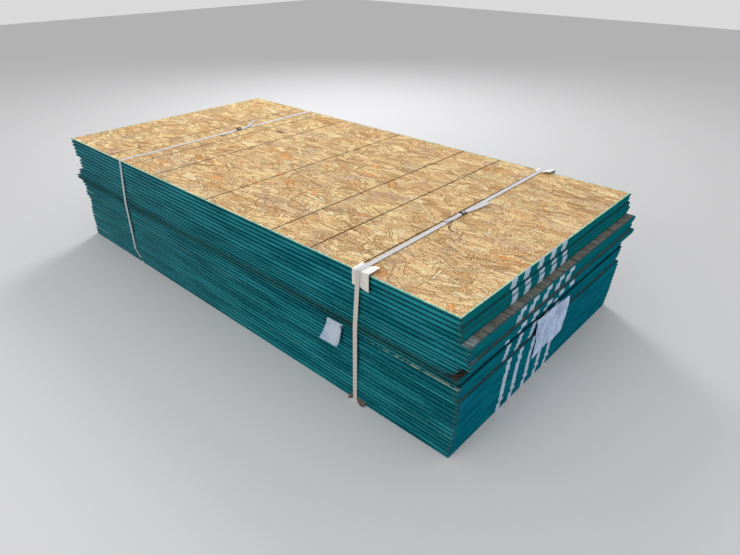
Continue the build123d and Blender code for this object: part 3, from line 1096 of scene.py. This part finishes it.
def edge_guard(name, outward):
    low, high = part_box(name)
    front_x, back_x = (near_end - inset * mm for inset in strap_places["strap_near"][:2])
    strap_x = front_x if outward < 0 else back_x
    inner_y = high.y if outward < 0 else low.y
    edge_y = groove_side if outward < 0 else top_high.y
    corner = edge_y + outward * guard_plate / 2
    plate_z = pile_top + guard_plate / 2
    obj = open_plate(
        ((low.x + high.x) / 2, (inner_y + corner) / 2, plate_z),
        (high.x - low.x, abs(inner_y - corner), 1),
    )

    # Side leg and rounded fold
    pick(obj, "edges", lambda co: abs(co.y - corner) < mm)
    bpy.ops.mesh.extrude_edges_move(TRANSFORM_OT_translate={"value": (0, 0, low.z - plate_z)})
    pick(obj, "edges", lambda co: abs(co.y - corner) < mm and abs(co.z - plate_z) < mm)
    bpy.ops.mesh.bevel(offset=3 * mm, segments=3)

    # Rows of points across the plate, and rows along both legs
    for place in guard_cuts:
        cut((strap_x + place * mm, 0, 0), (1, 0, 0))
    for depth in leg_cuts:
        cut((0, 0, pile_top - depth * mm), (0, 0, 1))
        cut((0, corner - outward * depth * mm, 0), (0, 1, 0))

    # The wings stand off: up on the top leg, outward on the side leg
    for side, place, up, out in wing_lifts:
        def beyond(co):
            return (co.x - strap_x) * side > place * mm

        shift(obj, lambda co: beyond(co) and co.z > pile_top - 6 * mm, (0, 0, up * mm))
        shift(
            obj,
            lambda co: beyond(co) and (co.y - corner) * outward > -6 * mm,
            (0, out * mm * outward, 0),
        )
    for place in (25, 40):
        shift(
            obj,
            lambda co: co.x - strap_x > place * mm and (co.y - corner) * outward < -28 * mm,
            (0, 0, 0.8 * mm),
        )
    bpy.ops.mesh.select_all(action="SELECT")
    bpy.ops.mesh.normals_make_consistent(inside=False)
    modifiers = bent_plate(guard_plate * 0.8)
    return close_piece(obj, name + "_bent", guard_plastic, "guard_plastic", (name,), modifiers)


for name, outward in (("guard_front", -1), ("guard_back", 1)):
    edge_guard(name, outward)

# %% [markdown]
# The foot guard is the same sort of corner, of brown card gone soft in the wet. Only its standing leg shows:
# the strap holds it flat, and beside the strap it leans out to the floor. A plate standing on its edge is cut
# into rows, its low edge is pulled out, and a little chance in each pull crumples it.

# %% Foot guard
foot_cuts = (-19, -15, -11.5, -6, 6, 11.5, 16, 22, 28, 34, 40, 46)
foot_rows = [
    # height as a share of the whole, and how far the card below it is pulled out, as a share of the reach
    (0.0, 0.3),
    (0.3, 0.3),
    (0.6, 0.25),
    (0.85, 0.15),
]


def foot_guard(name):
    low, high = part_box(name)
    foot_x = near_end - strap_places["strap_near"][2] * mm
    back_y = high.y - 0.5 * mm
    reach = back_y - low.y - mm
    obj = open_plate(
        ((low.x + high.x) / 2, back_y, (low.z + high.z) / 2),
        (high.x - low.x, 1, high.z - low.z),
        (math.pi / 2, 0, 0),
    )
    for place in foot_cuts:
        cut((foot_x + place * mm, 0, 0), (1, 0, 0))
    heights = [low.z + share * (high.z - low.z) for share, pull in foot_rows]
    for height in heights[1:]:
        cut((0, 0, height), (0, 0, 1))
    for height, (share, pull) in zip(heights, foot_rows):
        for side, places in ((-1, (12, 16, 20)), (1, (12, 17, 30))):
            for place in places:
                shift(
                    obj,
                    lambda co: (co.x - foot_x) * side > place * mm and co.z < height + mm,
                    (0, -reach * pull / len(places) * random.uniform(0.85, 1.1), 0),
                )
    modifiers = bent_plate(0.9 * mm)
    return close_piece(obj, name + "_bent", foot_card, "foot_guard_card", (name,), modifiers, 60)


foot_guard("guard_foot")

# %% [markdown]
# ## Paper
# Both papers have been out in the rain: damp clouds, specks of dirt and thin folds where a noise crosses its
# middle value. Near the tag's upper right corner a dark patch is painted as shade under its torn, curled
# flap.


# %% Paper finish
def paper_finish(name, light, smudge, amount, curl_shade=None):
    finish = Finish(name, Roughness=0.7, Specular_IOR_Level=0.3)
    coords = finish.coords()
    damp = finish.noise(coords, 14.0, 4.0, 0.6)
    dirt = finish.drawn_noise(coords, (60.0, 70.0, 40.0), 5.0, 0.7)
    crumple = finish.drawn_noise(coords, (30.0, 30.0, 44.0), 3.0, 0.6)
    folds = 1 - abs(crumple - 0.5).step(0.01, 0.04)
    fibre = finish.noise(coords, 500.0, 2.0)
    color = finish.coats(
        light,
        (damp.step(0.4, 0.7), amount, smudge),
        (dirt.step(0.54, 0.66), amount, smudge),
        (folds, amount * 0.5, smudge),
        (fibre.step(0.6, 0.8), 0.15, paint(120, 126, 140)),
    )
    if curl_shade:
        # Dark patch: painted shade under the tag's curled flap
        offset = finish.vector("MULTIPLY", finish.vector("SUBTRACT", coords, curl_shade), (1.6, 0.0, 1.0))
        torn = finish.noise(coords, 160.0, 3.0, 0.6) * (14 * mm)
        off = finish.vector("LENGTH", offset).out("Value") + torn
        color = finish.mix((1 - off.step(13 * mm, 16 * mm)) * 0.85, color, paint(40, 50, 52))
    finish.feed("Base Color", color)
    finish.bump(damp * 0.6 + crumple * 0.8 + fibre * 0.1, 1.6 * mm, 0.8)
    return finish.material


tag_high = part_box("side_tag")[1]
tag_curl_shade = (tag_high.x - 7 * mm, tag_high.y, tag_high.z - 12 * mm)
tag_paper = paper_finish("tag_paper", paint(168, 177, 190), paint(126, 148, 172), 0.6, tag_curl_shade)
label_paper = paper_finish("label_paper", paint(186, 208, 238), paint(116, 136, 166), 0.7)
paper_plate = 0.35 * mm
print("two papers, drawn", round(paper_plate / mm, 2), "mm thick")

# %% [markdown]
# The tag is a strip of stiff paper that hangs out of a joint. It is folded down over the lip of the sheet and
# bows out again to its lower edge, so it is made as one would lay it: a short strip in the joint, extruded
# edge by edge along the bow. Then its left side swings out, and its right side hangs lower and curls back.

# %% Side tag
tag_bow = [
    # out and down in mm, edge by edge
    (2.0, 0.0), (3.0, 1.4), (2.0, 3.6), (1.2, 5.0), (1.6, 6.0), (2.6, 8.0),
    (3.6, 8.0), (4.6, 8.0), (5.6, 8.0), (6.6, 8.0), (7.6, 8.2),
]
tag_cuts = (0.12, 0.25, 0.38, 0.5, 0.62, 0.74, 0.84, 0.92)
past_left, past_right = -1.0, 2.0
tag_pulls = []
for share in (0.1, 0.3, 0.55):
    tag_pulls += [
        # from and to as shares of the width, depth under the joint in mm, and the pull in mm
        (past_left, 0.9 - share, 30, (0, -1.2, 0)),
        (past_left, 0.9 - share, 50, (0, -1.0, 0)),
        (share, past_right, 25, (0, 0.8, -1.4)),
        (share, past_right, 45, (0, 0.8, -1.4)),
    ]
tag_pulls += [
    (0.88, past_right, 8, (-1, 2.0, 0)),
    (0.96, past_right, 8, (-3, 4.5, 0)),
    (0.9, past_right, 6, (-1.5, 2.5, 0), 22),  # down to this depth only
    (0.8, past_right, 16, (-3.5, 0.5, 0)),
    (0.7, past_right, 50, (0, 0, -3.0)),
    (0.8, past_right, 58, (0, 0, -5.0)),
]


def side_tag(name):
    low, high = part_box(name)
    joint_z = high.z - 0.2 * mm
    width = high.x - low.x
    lip = 6 * mm
    obj = open_plate(((low.x + high.x) / 2, high.y + lip / 2, joint_z), (width, lip, 1))
    pick(obj, "edges", lambda co: co.y < high.y + mm)
    for out, down in tag_bow:
        bpy.ops.mesh.extrude_edges_move(TRANSFORM_OT_translate={"value": (0, -out * mm, -down * mm)})
    for share in tag_cuts:
        cut((low.x + share * width, 0, 0), (1, 0, 0))

    def pull(first, last, depth, offset, end_depth=math.inf):
        """Moves a stretch of the width, from one depth under the joint down to another."""
        shift(
            obj,
            lambda co: low.x + first * width < co.x < low.x + last * width
            and joint_z - end_depth * mm < co.z < joint_z - depth * mm,
            tuple(part * mm for part in offset),
        )

    for row in tag_pulls:
        pull(*row)
    return close_piece(obj, name + "_creased", tag_paper, "paper", (name,), bent_plate(paper_plate), 60)


side_tag("side_tag")

# %% [markdown]
# The label is torn, so its outline is no simple shape. A copy of the CAD label has that outline already: its
# loose triangles are merged, all but the outer face are deleted, and cuts both ways give it enough points.
# Two displacements finish it, one that wrinkles the paper and one that frays only the points on its border.

# %% End label
label_columns, label_rows = 54, 36


def clouds(name, scale, depth):
    """A texture of soft clouds for a displacement."""
    texture = bpy.data.textures.new(name, "CLOUDS")
    texture.noise_scale = scale
    texture.noise_depth = depth
    return texture


def end_label(name):
    low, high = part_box(name)
    obj = bpy.data.objects.new(name + "_torn", frame["nodes"][name].data.copy())
    bpy.context.scene.collection.objects.link(obj)
    bpy.ops.object.select_all(action="DESELECT")
    obj.select_set(True)
    bpy.context.view_layer.objects.active = obj
    bpy.ops.object.mode_set(mode="EDIT")
    bpy.ops.mesh.select_all(action="SELECT")
    bpy.ops.mesh.remove_doubles(threshold=0.02 * mm)
    pick(obj, "faces", lambda co: co.x > high.x - 0.05 * mm)
    bpy.ops.mesh.select_all(action="INVERT")
    bpy.ops.mesh.delete(type="FACE")
    bpy.ops.mesh.select_all(action="SELECT")
    bpy.ops.mesh.dissolve_limited(angle_limit=math.radians(1))
    for number in range(1, label_columns):
        cut((0, low.y + (high.y - low.y) * number / label_columns, 0), (0, 1, 0))
    for number in range(1, label_rows):
        cut((0, 0, low.z + (high.z - low.z) * number / label_rows), (0, 0, 1))
    mesh = bmesh.from_edit_mesh(obj.data)
    border = [vert.index for vert in mesh.verts if vert.is_boundary and vert.co.z < high.z - 6 * mm]
    bpy.ops.object.mode_set(mode="OBJECT")
    obj.vertex_groups.new(name="border").add(border, 1.0, "REPLACE")
    tear = {"texture": clouds("paper_tear", 0.012, 3), "vertex_group": "border", "mid_level": 0.5}
    wrinkle = {"texture": clouds("paper_wrinkle", 0.045, 2), "mid_level": 0.1}
    modifiers = (
        ("DISPLACE", {**tear, "direction": "Y", "strength": 12 * mm}),
        ("DISPLACE", {**tear, "direction": "Z", "strength": 9 * mm}),
        ("DISPLACE", {**wrinkle, "direction": "X", "strength": 5 * mm}),
        ("SOLIDIFY", {"thickness": paper_plate, "offset": 0.0}),
    )
    return close_piece(obj, name + "_torn", label_paper, "paper", (name,), modifiers, 30)


end_label("end_label")

# %% [markdown]
# ## Light and floor
# The pile gets a bright pale dome and three large soft lamps, at a level where a colour renders about as it
# is written. The floor is plain and pale; it only catches the shadow.

# %% Lamps, sky and floor
sky = bpy.data.worlds.new("soft_sky")
bpy.context.scene.world = sky
sky.use_nodes = True
sky.node_tree.nodes["Background"].inputs["Color"].default_value = (1.0, 1.0, 1.0, 1.0)
sky.node_tree.nodes["Background"].inputs["Strength"].default_value = 0.7
lamps = [
    # name, place and size in metres, power in watts
    ("key_lamp", (-2.6, 2.8, 3.2), 1.4, 105.0),
    ("front_lamp", (0.6, -4.6, 2.2), 3.0, 80.0),
    ("end_lamp", (5.0, -0.6, 2.2), 3.0, 30.0),
]
lit_spot = Vector((0, 0, 0.3))
for name, place, size, power in lamps:
    lamp_data = bpy.data.lights.new(name, "AREA")
    lamp_data.size = size
    lamp_data.energy = power
    lamp = bpy.data.objects.new(name, lamp_data)
    bpy.context.scene.collection.objects.link(lamp)
    lamp.location = place
    lamp.rotation_euler = (lit_spot - lamp.location).to_track_quat("-Z", "Y").to_euler()

floor = open_primitive(bpy.ops.mesh.primitive_plane_add, size=24, location=(0, 0, 0))
bpy.ops.object.mode_set(mode="OBJECT")
floor.name = "floor"
floor_finish = Finish("pale_floor", Roughness=0.85, Base_Color=(0.60, 0.60, 0.61, 1.0))
floor.data.materials.append(floor_finish.material)
bpy.context.scene.view_settings.view_transform = "Standard"
print("floor and", len(lamps), "lamps")

# %% [markdown]
# The pieces made here may stand only a few millimetres proud of the solids.
